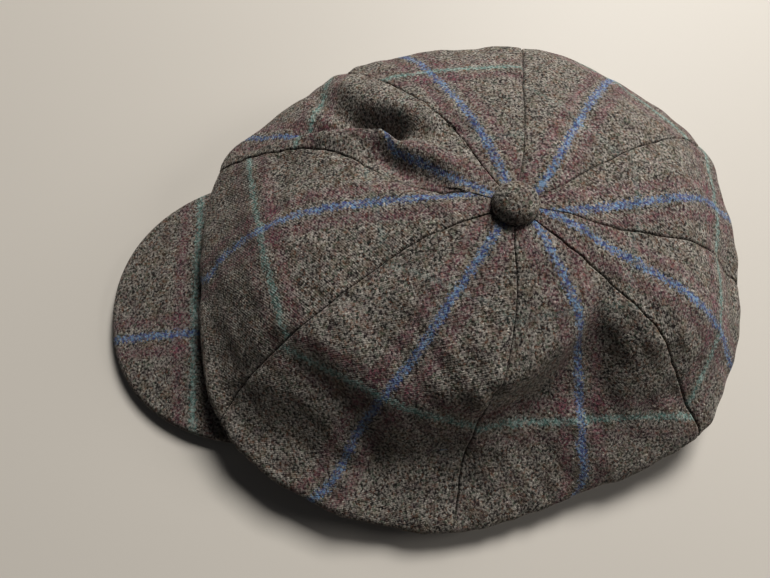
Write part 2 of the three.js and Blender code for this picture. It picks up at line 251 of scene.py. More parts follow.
def mesh_object(name, corners, faces, cut=None):
    """A smooth mesh from millimetre corners. cut gives each corner's place on the flat cloth."""
    mesh = bpy.data.meshes.new(name)
    mesh.from_pydata(((np.asarray(corners) + ORIGIN) * MM).tolist(), [], faces)
    mesh.validate()
    mesh.polygons.foreach_set("use_smooth", [True] * len(mesh.polygons))
    if cut is not None:
        layer = mesh.uv_layers.new(name="cut")
        loops = np.empty(len(mesh.loops), int)
        mesh.loops.foreach_get("vertex_index", loops)
        layer.uv.foreach_set("vector", (np.asarray(cut)[loops] * MM).ravel().astype(np.float32))
    mesh.update()
    thing = bpy.data.objects.new(name, mesh)
    bpy.context.collection.objects.link(thing)
    return thing


def grid_faces(rows, columns, first=0, flip=False, closed=False):
    faces = []
    for i in range(rows - 1):
        for j in range(columns if closed else columns - 1):
            k = (j + 1) % columns
            quad = [first + i * columns + j, first + i * columns + k]
            quad += [first + (i + 1) * columns + k, first + (i + 1) * columns + j]
            faces.append(quad[::-1] if flip else quad)
    return faces


def sheet_object(name, outside, inside, cut, closed=False):
    """A closed sheet between two matching grids. A closed one's last column meets its first."""
    rows, columns = outside.shape[:2]
    count = rows * columns
    faces = grid_faces(rows, columns, 0, flip=True, closed=closed)
    faces += grid_faces(rows, columns, count, closed=closed)
    if closed:
        first = list(range(columns))
        last = list(range(count - columns, count))
        around = [(first, False), (last, True)]
    else:
        loop = list(range(columns))
        loop += [i * columns + columns - 1 for i in range(1, rows)]
        loop += [(rows - 1) * columns + j for j in range(columns - 2, -1, -1)]
        loop += [i * columns for i in range(rows - 2, 0, -1)]
        around = [(loop, False)]
    for loop, turn in around:
        for a, b in zip(loop, loop[1:] + loop[:1]):
            quad = [a, b, b + count, a + count]
            faces.append(quad[::-1] if turn else quad)
    corners = np.concatenate([outside.reshape(-1, 3), inside.reshape(-1, 3)])
    return mesh_object(name, corners, faces, np.concatenate([cut.reshape(-1, 2)] * 2))


# ---- Crown form ------------------------------------------------------------------------------


def station_ring(place_of, place):
    """A ring through one point for each station. place counts seams round the crown."""
    points = [place_of(station, index) for index, station in enumerate(STATIONS)]
    return closed_curve(points, place * STATIONS_TO_A_SEAM)


def shoulder_share_ring(share, rise, place):
    """A ring part of the way from the button to the shoulder, above the shoulder by a rise."""

    def knot(station, index):
        reach, height, direction = station["shoulder"]
        return from_button(share * reach, height + rise, direction)

    return station_ring(knot, place)


def hole_ring(height, place):
    return station_ring(lambda station, index: from_button(HOLE_RADIUS, height, station["top"][2]), place)


def underside_ring(share, rise, place):
    """A ring part of the way in from the outermost fold to the headband."""

    def knot(station, index):
        reach, _, direction = station["rim"]
        height = station["hem"] + rise
        on_band = FIRST_SEAM_ON_BAND + SEAM_SPACING_ON_BAND * index / STATIONS_TO_A_SEAM
        outer = from_button(reach, height, direction)
        inner = oval(CROWN_ON_BAND, on_band, height)
        return outer + share * (inner - outer)

    return station_ring(knot, place)


def crown_knots(place):
    rings = [hole_ring(CROWN_TOP, place)]
    for name in STATION_PLACES:
        rings.append(station_ring(lambda station, index: from_button(*station[name]), place))
    rings.append(underside_ring(UNDERSIDE_TURN, 0, place))
    rings.append(underside_ring(UNDERSIDE_TUCK, TUCK_RISE, place))
    on_band = FIRST_SEAM_ON_BAND + SEAM_SPACING_ON_BAND * place
    rings.append(oval(CROWN_ON_BAND, on_band, BAND_HEIGHT + SEAM_OVER_BAND))
    return np.array(rings)


def beside_line(points, line):
    """Distance from a line in plan, positive on its left, and the share of the line passed."""
    knots = np.array([from_button(reach, 0, degrees)[:2] for degrees, reach in line])
    flat = np.concatenate([knots, np.zeros((len(knots), 1))], 1)
    path = open_curves(flat[:, None], STEPS_A_FOLD_KNOT)[:, 0, :2]
    best = np.full(points.shape[:-1], np.inf)
    side = np.zeros(points.shape[:-1])
    share = np.zeros(points.shape[:-1])
    for k in range(len(path) - 1):
        step = path[k + 1] - path[k]
        offset = points[..., :2] - path[k]
        t = (offset @ step) / (step @ step)
        inside = np.clip(t, 0, 1)
        gap = np.linalg.norm(offset - inside[..., None] * step, axis=-1)
        nearer = gap < best
        best = np.where(nearer, gap, best)
        turn = step[0] * offset[..., 1] - step[1] * offset[..., 0]
        side = np.where(nearer, np.sign(turn), side)
        share = np.where(nearer, (k + inside) / (len(path) - 1), share)
    return best * side, share


def fold_relief(points):
    """How far the folds lift the cloth, or let it sink, at points seen in plan."""
    relief = np.zeros(points.shape[:-1])
    for fold in FOLDS:
        gap, share = beside_line(points, fold["line"])
        spread = np.where(gap > 0, fold["left"], fold["right"])
        along = np.sin(math.pi * (FOLD_END + (1 - 2 * FOLD_END) * share)) ** FOLD_FULLNESS
        relief += fold["height"] * np.exp(-((gap / spread) ** 2)) * along
    gap, share = beside_line(points, CREST["line"])
    near = CREST["height"] * np.exp(-((np.minimum(gap, 0) / CREST["spread"]) ** 2))
    fall = CREST["drop"] * smoothstep(0, CREST["steep"], gap)
    recover = np.exp(-((np.maximum(gap - CREST["steep"], 0) / CREST["beyond"]) ** 2))
    crest = np.where(gap < CREST["steep"], near - fall, (near - fall) * recover)
    start = CREST_START + (1 - CREST_START) * smoothstep(0, CREST_FULL, share)
    return relief + crest * start * (1 - smoothstep(CREST_FADE, 1, share))


# ---- Crown panels ----------------------------------------------------------------------------

ROWS_ALONG = 150
COLUMNS_ACROSS = 72
STEPS_A_KNOT = 24
# The cloth's own unevenness: wavelength, seed and height.
CROWN_WAVES = [(46, 3, 0.7), (17, 5, 0.35)]
# Where the unevenness starts and where the folds end, as shares of the way to the outermost fold.
WAVES_START = (0.02, 0.25)
FOLDS_END = (0.9, 1.06)
EDGE_CROWDING = 0.86
SEAM_ROUNDING = 1.4
SEAM_VALLEY_DEPTH = 0.9
SEAM_VALLEY_WIDTH = 6.0
SEAM_PUCKER = 0.45
SEAM_PUCKER_LENGTH = 11
SEAM_PUCKER_MIDDLE = 0.8
SEAM_PUCKER_SEED = 20
FULL_SEAM_FROM_WIDTH = 24
SEAM_ALLOWANCE = (0.9, 1.8)
# Columns worked out beyond each seam and then dropped, so that both sides of it face the same way.
PAD = 2


def crown_grid(place):
    """The crown's outside along the meridians at these places, with each point's length of cloth
    from the button."""
    fine = open_curves(crown_knots(place), STEPS_A_KNOT)
    to_fold = run_along(fine)[STEPS_A_KNOT * RIM_RING]
    grid = evenly(fine, ROWS_ALONG + 1)
    along = run_along(grid)
    normal = surface_normals(grid)
    share = along / to_fold
    away = smoothstep(*WAVES_START, share)
    relief = fold_relief(grid) * (1 - smoothstep(*FOLDS_END, share))
    for wavelength, seed, height in CROWN_WAVES:
        relief += ripples(grid, wavelength, seed) * height * away
    return grid + normal * (CROWN_THICKNESS / 2 + relief)[..., None], along


def edges_repeated(grid):
    """The grid with its first and last columns repeated, once for each fold of the allowance."""
    times = len(SEAM_ALLOWANCE)
    return np.concatenate([grid[:, :1]] * times + [grid] + [grid[:, -1:]] * times, 1)


def crown_panel(index):
    """One panel: its outside, its inside and its cut, with the edges turned in at the seams."""
    even = np.linspace(0, 1, COLUMNS_ACROSS + 1)
    crowded = even - EDGE_CROWDING * np.sin(2 * math.pi * even) / (2 * math.pi)
    before = crowded[1] * np.arange(-PAD, 0)
    place = index + np.concatenate([before, crowded, 1 - before[::-1]])
    grid, along = crown_grid(place)
    normal = surface_normals(grid)
    keep = slice(PAD, -PAD)
    grid, along, normal = grid[:, keep], along[:, keep], normal[:, keep]

    across = run_along(grid.swapaxes(0, 1)).T
    width = across[:, -1:]
    edge = np.minimum(across, width - across)
    fullness = np.minimum(width / FULL_SEAM_FROM_WIDTH, 1)
    rounding = SEAM_ROUNDING * fullness
    turned = rounding - np.sqrt(np.maximum(rounding**2 - np.maximum(rounding - edge, 0) ** 2, 0))
    pucker = SEAM_PUCKER_MIDDLE + SEAM_PUCKER * ripples(grid, SEAM_PUCKER_LENGTH, SEAM_PUCKER_SEED)
    valley = SEAM_VALLEY_DEPTH * fullness * pucker * np.exp(-((edge / SEAM_VALLEY_WIDTH) ** 2))
    outside = grid - normal * (turned + valley)[..., None]

    sides = []
    for column in (0, -1):
        folded = [outside[:, column] - normal[:, column] * depth for depth in SEAM_ALLOWANCE]
        sides.append(np.stack(folded[::-1] if column == 0 else folded, 1))
    outside = np.concatenate([sides[0], outside, sides[1]], 1)
    inside = outside - edges_repeated(normal) * CROWN_THICKNESS
    sideways = edges_repeated(across - width / 2)
    along = edges_repeated(along)
    lengthways = np.sqrt(np.maximum(along**2 - sideways**2, 0))
    return outside, inside, np.stack([sideways, lengthways], -1)


# ---- Lining, bands, peak, button and labels ----------------------------------------------------

LINING_THICKNESS = 0.6
LINING_TOP = 70.0
LINING_PLATEAU_RISE = 2.0
LINING_SHOULDER_SHARE = 0.78
LINING_SHOULDER_DROP = 8.0
LINING_WALL_INSET = 13.0
LINING_WALL_HEIGHT = 37.0
LINING_FOOT_OUTSET = 2.0
LINING_NAMES = ["front", "left", "back", "right"]
LINING_SEAM_GAP = 0.6
LINING_ROWS = 90
LINING_COLUMNS = 73
LINING_SAG = 0.8
# Shares of the way from the button to the band.
LINING_SAG_START = (0.03, 0.2)
LINING_SAG_END = (0.8, 0.97)
LINING_FOLDS_END = (0.7, 0.9)
LINING_SEAM_RIDGE = 1.3
LINING_RIDGE_WIDTH = 3.5
FULL_RIDGE_FROM_WIDTH = 40


def lining_grid(place, rows):
    """The middle of the lining along the meridians at these places, sunk where the crown is."""
    angle = FIRST_SEAM_ON_BAND + SEAM_SPACING_ON_BAND * place
    knots = [
        hole_ring(LINING_TOP, place),
        shoulder_share_ring(PLATEAU_SHARE, LINING_PLATEAU_RISE, place),
        shoulder_share_ring(LINING_SHOULDER_SHARE, -LINING_SHOULDER_DROP, place),
        oval(-LINING_WALL_INSET, angle, LINING_WALL_HEIGHT),
        oval(LINING_FOOT_OUTSET, angle, BAND_HEIGHT + 1),
    ]
    grid = evenly(open_curves(np.array(knots), STEPS_A_KNOT), rows)
    share = run_along(grid)
    share /= share[-1]
    free = smoothstep(*LINING_SAG_START, share) * (1 - smoothstep(*LINING_SAG_END, share))
    relief = np.minimum(fold_relief(grid), 0) * (1 - smoothstep(*LINING_FOLDS_END, share))
    relief -= (1 + ripples(grid, 30, seed=41)) * LINING_SAG * free
    return grid + surface_normals(grid) * relief[..., None]


def lining_gore(index):
    """One gore, as wide as two crown panels: its outside, its inside and its cut."""
    place = np.linspace(2 * index - 1, 2 * index + 1, LINING_COLUMNS)
    grid = lining_grid(place, LINING_ROWS)
    across = run_along(grid.swapaxes(0, 1)).T
    width = across[:, -1:]
    edge = np.minimum(across, width - across)
    margin = np.minimum(LINING_SEAM_GAP / 2 / width, 0.2)
    spaced = np.empty_like(grid)
    for row in range(len(grid)):
        wanted = margin[row] * width[row] + (1 - 2 * margin[row]) * across[row]
        for axis in range(3):
            spaced[row, :, axis] = np.interp(wanted, across[row], grid[row, :, axis])
    normal = surface_normals(spaced)
    pucker = 0.7 + 0.5 * ripples(spaced, 9, seed=60 + index)
    ridge = LINING_SEAM_RIDGE * pucker * np.minimum(width / FULL_RIDGE_FROM_WIDTH, 1)
    ridge = ridge * np.exp(-((edge / LINING_RIDGE_WIDTH) ** 2))
    spaced = spaced + normal * ridge[..., None]
    half = normal * LINING_THICKNESS / 2
    cut = np.stack([across - width / 2, run_along(spaced)], -1)
    return spaced + half, spaced - half, cut


BAND_ROWS = 14
BAND_EDGE_STEPS = 5
BAND_WAVE_LENGTH = 24


def band_rings(inner, thickness, bottom, top, columns, waviness=0.0, seed=0):
    """An oval band standing on edge, with round edges: rings round its section, and its cut."""
    radius = thickness / 2
    heights = np.linspace(bottom + radius, top - radius, BAND_ROWS)
    turn = np.linspace(0, math.pi, BAND_EDGE_STEPS + 2)[1:-1]
    outer = [(inner + thickness, z) for z in heights]
    over = [(inner + radius + radius * math.cos(a), top - radius + radius * math.sin(a)) for a in turn]
    back = [(inner, z) for z in heights[::-1]]
    under = [(inner + radius - radius * math.cos(a), bottom + radius - radius * math.sin(a)) for a in turn]
    section = np.array(outer + over + back + under)
    angle = np.linspace(90, 450, columns, endpoint=False)
    middle = (bottom + top) / 2
    rings = np.array([oval(outset, angle, height) for outset, height in section])
    wave = ripples(rings, BAND_WAVE_LENGTH, seed)[..., None] * waviness
    outward = np.stack([np.cos(np.radians(angle)), np.sin(np.radians(angle)), np.zeros(columns)], -1)
    edge_free = 1 - (np.abs(rings[..., 2:] - middle) / (top - middle)) ** 4
    rings = rings + outward * wave * edge_free
    round_the_head = np.concatenate([[0], np.cumsum(np.linalg.norm(np.diff(rings[0], axis=0), axis=-1))])
    cut = np.stack(np.broadcast_arrays(round_the_head[None], section[:, 1:]), -1)
    return rings, cut


def ring_object(name, rings, cut):
    """A solid from rings that close on themselves and on each other."""
    count, columns = rings.shape[:2]
    faces = grid_faces(count, columns, closed=True, flip=True)
    last = (count - 1) * columns
    for j in range(columns):
        k = (j + 1) % columns
        faces.append([j, k, last + k, last + j])
    return mesh_object(name, rings.reshape(-1, 3), faces, cut.reshape(-1, 2))


PEAK_REACH = 181.0
PEAK_HALF_WIDTH = 80.0
PEAK_SHOULDER = 85.0
PEAK_ROUNDNESS = 2.15
PEAK_ROOT_ANGLE = 32.0
PEAK_GAP = 0.9
PEAK_ROOT_HEIGHT = 5.0
PEAK_TIP_HEIGHT = 4.6
PEAK_ARCH = 5.0
PEAK_BOARD_THICKNESS = 2.0
PEAK_COVER_THICKNESS = 1.6
PEAK_LAYER_GAP = 0.6
PEAK_EDGE_ROLL = 4.5
PEAK_SEAM = 0.15
PEAK_SEAM_INSIDE = 0.09
PEAK_THINNEST_EDGE = 0.05
PEAK_COLUMNS = 121
PEAK_ROWS = 70
PEAK_EDGE_CROWDING = 0.5
PEAK_UNEVENNESS = 0.12


def signed_power(value, power):
    return np.sign(value) * np.abs(value) ** power


def peak_surface(along, across):
    """The middle of the peak's thickness, from its sewn edge out and from the right to the left."""
    turn = math.pi * (1 - across)
    x = PEAK_HALF_WIDTH * signed_power(np.cos(turn), 2 / PEAK_ROUNDNESS)
    y = -PEAK_SHOULDER - (PEAK_REACH - PEAK_SHOULDER) * signed_power(np.sin(turn), 2 / PEAK_ROUNDNESS)
    outer = np.stack([x, y, np.full_like(x, PEAK_TIP_HEIGHT)], -1)
    angle = -180 + PEAK_ROOT_ANGLE + (180 - 2 * PEAK_ROOT_ANGLE) * across
    root = oval(BAND_OUTER + PEAK_GAP, angle, PEAK_ROOT_HEIGHT)
    point = root + along[..., None] * (outer - root)
    point[..., 2] += PEAK_ARCH * np.sin(math.pi * across) ** 2 * np.sin(math.pi * (0.25 + 0.75 * along))
    return point


def peak_cover(side):
    """One cover of the peak: the upper for side 1, the lower for -1. Its edge rolls over to the
    seam where the two covers meet."""
    even = np.linspace(0, 1, PEAK_COLUMNS)
    across = even - PEAK_EDGE_CROWDING * np.sin(2 * math.pi * even) / (2 * math.pi)
    along = np.sin(np.linspace(0, math.pi / 2, PEAK_ROWS))
    grid_across, grid_along = np.meshgrid(across, along)
    grid = peak_surface(grid_along, grid_across)
    normal = surface_normals(grid)
    normal *= np.sign(normal[..., 2:])
    to_rim = run_along(grid)
    to_rim = to_rim[-1] - to_rim
    sideways = np.minimum(
        np.linalg.norm(grid - grid[:, :1], axis=-1), np.linalg.norm(grid - grid[:, -1:], axis=-1)
    )
    edge = np.minimum(to_rim, sideways)
    swell = np.sqrt(np.maximum(1 - (1 - np.minimum(edge / PEAK_EDGE_ROLL, 1)) ** 2, 0))
    inner_face = PEAK_BOARD_THICKNESS / 2 + PEAK_LAYER_GAP
    outer = PEAK_SEAM + (inner_face + PEAK_COVER_THICKNESS - PEAK_SEAM) * swell
    outer += ripples(grid, 26, seed=71) * PEAK_UNEVENNESS * np.minimum(edge / 12, 1)
    inner = np.maximum(outer - PEAK_COVER_THICKNESS, PEAK_SEAM_INSIDE)
    inner = np.minimum(inner, outer - PEAK_THINNEST_EDGE)
    outside = grid + normal * (side * outer)[..., None]
    inside = grid + normal * (side * inner)[..., None]
    return outside, inside, grid[..., :2].copy()


BUTTON_RADIUS = 11.5
BUTTON_HEIGHT = 7.5
BUTTON_COVER_THICKNESS = 1.2
BUTTON_GAP = 0.8
BUTTON_BASE = CROWN_TOP + CROWN_THICKNESS / 2 + BUTTON_GAP
DOME_FULLNESS = 0.8
DOME_TO_FLAT = 1.25
DOME_ROWS = 40
DOME_COLUMNS = 120
GATHERS = 17
GATHER_DEPTH = 0.16


def button_dome(inset):
    """The button's dome, as rings from its top down. Only its outside, which has no inset, is
    gathered at the edge."""
    angle = np.linspace(0.01, math.pi / 2, DOME_ROWS)[:, None]
    turn = np.linspace(0, 2 * math.pi, DOME_COLUMNS, endpoint=False)[None]
    radius = (BUTTON_RADIUS - inset) * np.sin(angle) ** DOME_FULLNESS
    low = smoothstep(0.55, 1.0, np.sin(angle)) * np.ones_like(turn)
    uneven = np.sin(GATHERS * turn + 0.9 * np.sin(3 * turn)) + 0.5 * np.sin(11 * turn + 1.3)
    radius = radius - GATHER_DEPTH * low * (1.5 + uneven) * (inset == 0)
    x = BUTTON_X + radius * np.cos(turn)
    y = BUTTON_Y + radius * np.sin(turn)
    z = BUTTON_BASE + (BUTTON_HEIGHT - inset) * np.cos(angle) + 0 * turn
    dome = np.stack([x, y, z], -1)
    flat = np.stack([radius * DOME_TO_FLAT * np.cos(turn), radius * DOME_TO_FLAT * np.sin(turn)], -1)
    return dome, flat


def button_cover_rings():
    outside, flat = button_dome(0.0)
    inside, _ = button_dome(BUTTON_COVER_THICKNESS)
    return outside, inside, flat


def stitch_mesh(name, places, headings, ups, length=2.2, width=0.5):
    """Short stitches, each a rounded bar of thread lying on the cloth."""
    turn = np.linspace(0, 2 * math.pi, 6, endpoint=False)
    rings = [(-0.5, 0.35), (-0.38, 0.85), (0, 1), (0.38, 0.85), (0.5, 0.35)]
    corners = []
    faces = []
    for place, heading, up in zip(places, headings, ups):
        heading = heading / np.linalg.norm(heading)
        up = up / np.linalg.norm(up)
        aside = np.cross(up, heading)
        start = len(corners)
        for share, fat in rings:
            for angle in turn:
                spread = aside * math.cos(angle) + up * math.sin(angle)
                corners.append(place + heading * share * length + spread * fat * width / 2)
        faces += grid_faces(len(rings), len(turn), start, closed=True)
        faces.append([start + k for k in range(len(turn))])
        last = start + (len(rings) - 1) * len(turn)
        faces.append([last + k for k in reversed(range(len(turn)))])
    return mesh_object(name, np.array(corners), faces)


def label_patch(surface, thickness, rows=24, columns=36):
    """A woven label on a surface, a function of how far down and across it a point is."""
    down, across = np.meshgrid(np.linspace(0, 1, rows), np.linspace(0, 1, columns), indexing="ij")
    grid = surface(down, across)
    normal = surface_normals(grid)
    edge = np.minimum.reduce([down, 1 - down, across, 1 - across])
    hem = thickness * 0.25 * (1 - smoothstep(0.03, 0.08, edge))
    half = normal * (thickness / 2 + hem)[..., None]
    width = run_along(grid.swapaxes(0, 1)).T
    cut = np.stack([width, run_along(grid)], -1)
    return grid + half, grid - half, cut


# ---- Materials -------------------------------------------------------------------------------


class Nodes:
    """Short ways to add shader nodes to one material."""

    def __init__(self, name):
        self.material = bpy.data.materials.new(name)
        self.material.use_nodes = True
        self.tree = self.material.node_tree
        self.shader = self.tree.nodes["Principled BSDF"]

    def add(self, kind, inputs=(), **settings):
        node = self.tree.nodes.new(kind)
        for name, value in settings.items():
            setattr(node, name, value)
        for socket, value in dict(inputs).items():
            self.put(node.inputs[socket], value)
        return node

    def put(self, socket, value):
        if isinstance(value, bpy.types.NodeSocket):
            self.tree.links.new(value, socket)
        else:
            socket.default_value = value

    def place(self):
        """Where a point is on the object, in metres."""
        return self.add("ShaderNodeTexCoord").outputs["Object"]

    def cut(self):
        """Where a point is on the flat cloth, in metres."""
        return self.add("ShaderNodeUVMap", uv_map="cut").outputs["UV"]

    def across_and_along(self):
        """How far across and along the flat cloth a point is, in metres."""
        axes = self.add("ShaderNodeSeparateXYZ", {"Vector": self.cut()})
        return axes.outputs["X"], axes.outputs["Y"]

    def stretched(self, vector, scale):
        return self.add("ShaderNodeMapping", {"Vector": vector, "Scale": scale}).outputs["Vector"]

    def moved(self, vector, offset):
        return self.add("ShaderNodeVectorMath", {0: vector, 1: offset}, operation="ADD").outputs[0]

    def dimmed(self, colour, tone):
        node = self.add("ShaderNodeVectorMath", {0: colour, "Scale": tone}, operation="SCALE")
        return node.outputs[0]

    def math(self, operation, *values, clamp=False):
        node = self.add("ShaderNodeMath", operation=operation, use_clamp=clamp)
        for socket, value in zip(node.inputs, values):
            self.put(socket, value)
        return node.outputs[0]

    def noise(self, where, size_mm, detail=2.0, roughness=0.5):
        """Noise whose lumps are about this size, from 0 to 1."""
        inputs = {"Vector": where, "Scale": 1 / (size_mm * MM)}
        inputs.update({"Detail": detail, "Roughness": roughness})
        return self.add("ShaderNodeTexNoise", inputs).outputs["Fac"]

    def ramp(self, value, low, high, to_low=0.0, to_high=1.0):
        inputs = {"Value": value, "From Min": low, "From Max": high, "To Min": to_low, "To Max": to_high}
        node = self.add("ShaderNodeMapRange", inputs, interpolation_type="SMOOTHSTEP")
        return node.outputs["Result"]

    def mix(self, share, below, above):
        node = self.add("ShaderNodeMix", data_type="RGBA")
        self.put(node.inputs["Factor"], share)
        self.put(node.inputs[6], below)
        self.put(node.inputs[7], above)
        return node.outputs[2]

    def band(self, value, centre, half, soft):
        """1 within half of the centre, falling to 0 over a soft edge."""
        gap = self.math("ABSOLUTE", self.math("SUBTRACT", value, centre))
        return self.ramp(gap, half - soft, half + soft, 1.0, 0.0)

    def finish(self, colour, roughness, height=None, depth_mm=0.1, **sockets):
        self.put(self.shader.inputs["Base Color"], colour)
        self.put(self.shader.inputs["Roughness"], roughness)
        for name, value in sockets.items():
            self.shader.inputs[name.replace("_", " ")].default_value = value
        if height is not None:
            bump = self.add("ShaderNodeBump", {"Height": height, "Distance": depth_mm * MM, "Strength": 1.0})
            self.put(self.shader.inputs["Normal"], bump.outputs["Normal"])
        return self.material


def shade(red, green, blue):
    """A colour from the usual 0 to 255 values, as the linear one that nodes take."""
    out = []
    for value in (red, green, blue):
        value /= 255
        out.append(value / 12.92 if value <= 0.04045 else ((value + 0.055) / 1.055) ** 2.4)
    return (*out, 1.0)


# The tweed's check: half the width of each line, how soft its edges are, and its two thread shades.
BLUE_HALF = 1.9
TEAL_HALF = 1.7
LINE_SOFTNESS = 0.8
FAINT_TEAL_BACK = 60
FAINT_TEAL_HALF = 1.2
RED_BESIDE = 8.5
RED_HALF = 2.8
RED_SOFTNESS = 2.4
BLUE_THREADS = (shade(62, 78, 134), shade(122, 154, 186))
TEAL_THREADS = (shade(84, 122, 116), shade(156, 178, 172))
RED_THREADS = (shade(80, 46, 62), shade(134, 74, 90))
TWILL_PITCH = 1.5


def tweed(name, blue_at=None, blue_lean=0.0, teal_at=None, teal_lean=0.0, depth=1.0):
    """Heather tweed in a fine twill. blue_at and teal_at are where the check's lines run on the
    flat cloth, in millimetres across and along the piece, and each leans by so much a millimetre.
    depth below 1 darkens the whole colour: painted shade."""
    n = Nodes(name)
    where = n.place()
    across, along = (n.math("MULTIPLY", axis, 1000.0) for axis in n.across_and_along())
    wander = n.ramp(n.noise(where, 5, 1), 0.2, 0.8, -0.45, 0.45)
    lumps = n.ramp(n.noise(where, 1.3, 1), 0.2, 0.8, -1.5, 1.5)
    uneven = n.math("ADD", wander, lumps)
    x = n.math("ADD", n.math("SUBTRACT", across, n.math("MULTIPLY", along, blue_lean)), uneven)
    y = n.math("ADD", n.math("SUBTRACT", along, n.math("MULTIPLY", across, teal_lean)), uneven)

    # Mixed wool: a light and dark grain, wide tinted patches in it, then light, rust and green flecks.
    second = n.moved(where, (0.31, 0.17, 0.23))
    third = n.moved(where, (0.73, 0.41, 0.57))
    fourth = n.moved(where, (0.11, 0.83, 0.37))
    grain = n.noise(where, 1.25, 3, 0.55)
    colour = n.mix(n.ramp(grain, 0.36, 0.64), shade(32, 29, 28), shade(160, 154, 146))
    for place, size, most, tint in (
        (second, 4.5, 0.55, shade(104, 92, 62)),
        (third, 5.5, 0.5, shade(100, 70, 78)),
        (fourth, 6.5, 0.5, shade(104, 76, 54)),
    ):
        patch = n.ramp(n.noise(place, size, 2), 0.48, 0.7, 0, most)
        colour = n.mix(n.math("MULTIPLY", patch, grain), colour, tint)
    for place, size, low, high, most, tint in (
        (where, 1.3, 0.6, 0.76, 0.65, shade(206, 200, 188)),
        (second, 1.7, 0.56, 0.72, 0.5, shade(120, 80, 58)),
        (third, 1.6, 0.56, 0.72, 0.5, shade(86, 102, 84)),
    ):
        colour = n.mix(n.ramp(n.noise(place, size, 1), low, high, 0, most), colour, tint)

    # The check's threads show only here and there between the others.
    speckle = n.ramp(n.noise(third, 1.5, 2), 0.36, 0.6, 0.25, 1.0)
    strand = n.ramp(n.noise(fourth, 1.5, 1), 0.4, 0.6)
    if blue_at is not None:
        red = [n.band(x, blue_at + side * RED_BESIDE, RED_HALF, RED_SOFTNESS) for side in (-1, 1)]
        red = n.math("ADD", *red)
        if teal_at is not None:
            red = n.math("ADD", red, n.band(y, teal_at - RED_BESIDE, RED_HALF, RED_SOFTNESS))
            fainter = n.math("MULTIPLY", n.band(y, teal_at + RED_BESIDE, RED_HALF, RED_SOFTNESS), 0.6)
            red = n.math("ADD", red, fainter)
        red = n.math("MULTIPLY", n.math("MULTIPLY", red, speckle), 0.42, clamp=True)
        colour = n.mix(red, colour, n.mix(strand, *RED_THREADS))
    if teal_at is not None:
        faint = n.band(y, teal_at - FAINT_TEAL_BACK, FAINT_TEAL_HALF, LINE_SOFTNESS)
        teal = n.band(y, teal_at, TEAL_HALF, LINE_SOFTNESS)
        teal = n.math("ADD", teal, n.math("MULTIPLY", faint, 0.3))
        teal = n.math("MULTIPLY", n.math("MULTIPLY", teal, speckle), 0.8)
        colour = n.mix(teal, colour, n.mix(strand, *TEAL_THREADS))
    if blue_at is not None:
        blue = n.math("MULTIPLY", n.band(x, blue_at, BLUE_HALF, LINE_SOFTNESS), speckle)
        colour = n.mix(n.math("MULTIPLY", blue, 0.78), colour, n.mix(strand, *BLUE_THREADS))
    # Tone varies at random over the cloth; depth scales all of it, and below 1 that is painted shade.
    tone = n.ramp(n.noise(where, 9, 2), 0.3, 0.7, 0.86 * depth, 1.12 * depth)
    colour = n.dimmed(colour, tone)

    diagonal = n.math("MULTIPLY", n.math("ADD", across, along), 2 * math.pi / TWILL_PITCH)
    height = n.math("MULTIPLY", n.math("SINE", diagonal), 0.1)
    height = n.math("ADD", height, n.math("MULTIPLY", grain, 1.4))
    height = n.math("ADD", height, n.math("MULTIPLY", n.noise(where, 2.5, 2), 0.8))
    sheen = dict(Sheen_Weight=0.12, Sheen_Roughness=0.55, Sheen_Tint=(0.8, 0.76, 0.7, 1))
    return n.finish(colour, 0.94, height, 0.35, Specular_IOR_Level=0.25, **sheen)


def plain_cloth(name, dark, light, thread_mm, rib=(1.0, 0.0), roughness=0.8, sheen=0.2, depth_mm=0.15):
    """A woven cloth in one colour: threads across and along, one of them prouder."""
    n = Nodes(name)
    where = n.place()
    x, y = n.across_and_along()
    wave = 2 * math.pi / (thread_mm * MM)
    slant = n.math("ADD", n.math("MULTIPLY", x, rib[0]), n.math("MULTIPLY", y, rib[1]))
    rows = n.math("SINE", n.math("MULTIPLY", slant, wave))
    cross = n.math("SINE", n.math("MULTIPLY", y, wave * 1.6))
    slub = n.noise(where, 1.2, 3, 0.6)
    patch = n.noise(where, 18, 2)
    weave = n.math("ADD", n.math("MULTIPLY", rows, 0.3), n.math("MULTIPLY", cross, 0.12))
    share = n.math("ADD", n.math("MULTIPLY", n.math("ADD", weave, 0.5), 0.5), n.math("MULTIPLY", slub, 0.5))
    colour = n.mix(n.ramp(share, 0.15, 0.9), dark, light)
    colour = n.dimmed(colour, n.ramp(patch, 0.3, 0.7, 0.88, 1.1))
    rough = n.ramp(slub, 0.2, 0.8, roughness - 0.06, roughness + 0.06)
    height = n.math("ADD", weave, n.math("MULTIPLY", slub, 0.6))
    tint = tuple(min(1.0, value * 4) for value in light[:3]) + (1,)
    sockets = dict(Sheen_Weight=sheen, Sheen_Roughness=0.4, Sheen_Tint=tint, Specular_IOR_Level=0.35)
    return n.finish(colour, rough, height, depth_mm, **sockets)


def satin(name, dark, light):
    """A smooth lining with fine bright threads running along it."""
    n = Nodes(name)
    fine = n.noise(n.stretched(n.cut(), (1, 0.08, 1)), 0.35, 2, 0.5)
    patch = n.noise(n.place(), 22, 2)
    share = n.math("ADD", n.math("MULTIPLY", fine, 0.6), n.math("MULTIPLY", patch, 0.5))
    colour = n.mix(n.ramp(share, 0.3, 0.8), dark, light)
    rough = n.ramp(fine, 0.3, 0.7, 0.3, 0.46)
    sockets = dict(Sheen_Weight=0.25, Sheen_Roughness=0.3, Anisotropic=0.5, Specular_IOR_Level=0.6)
    return n.finish(colour, rough, fine, 0.05, **sockets)


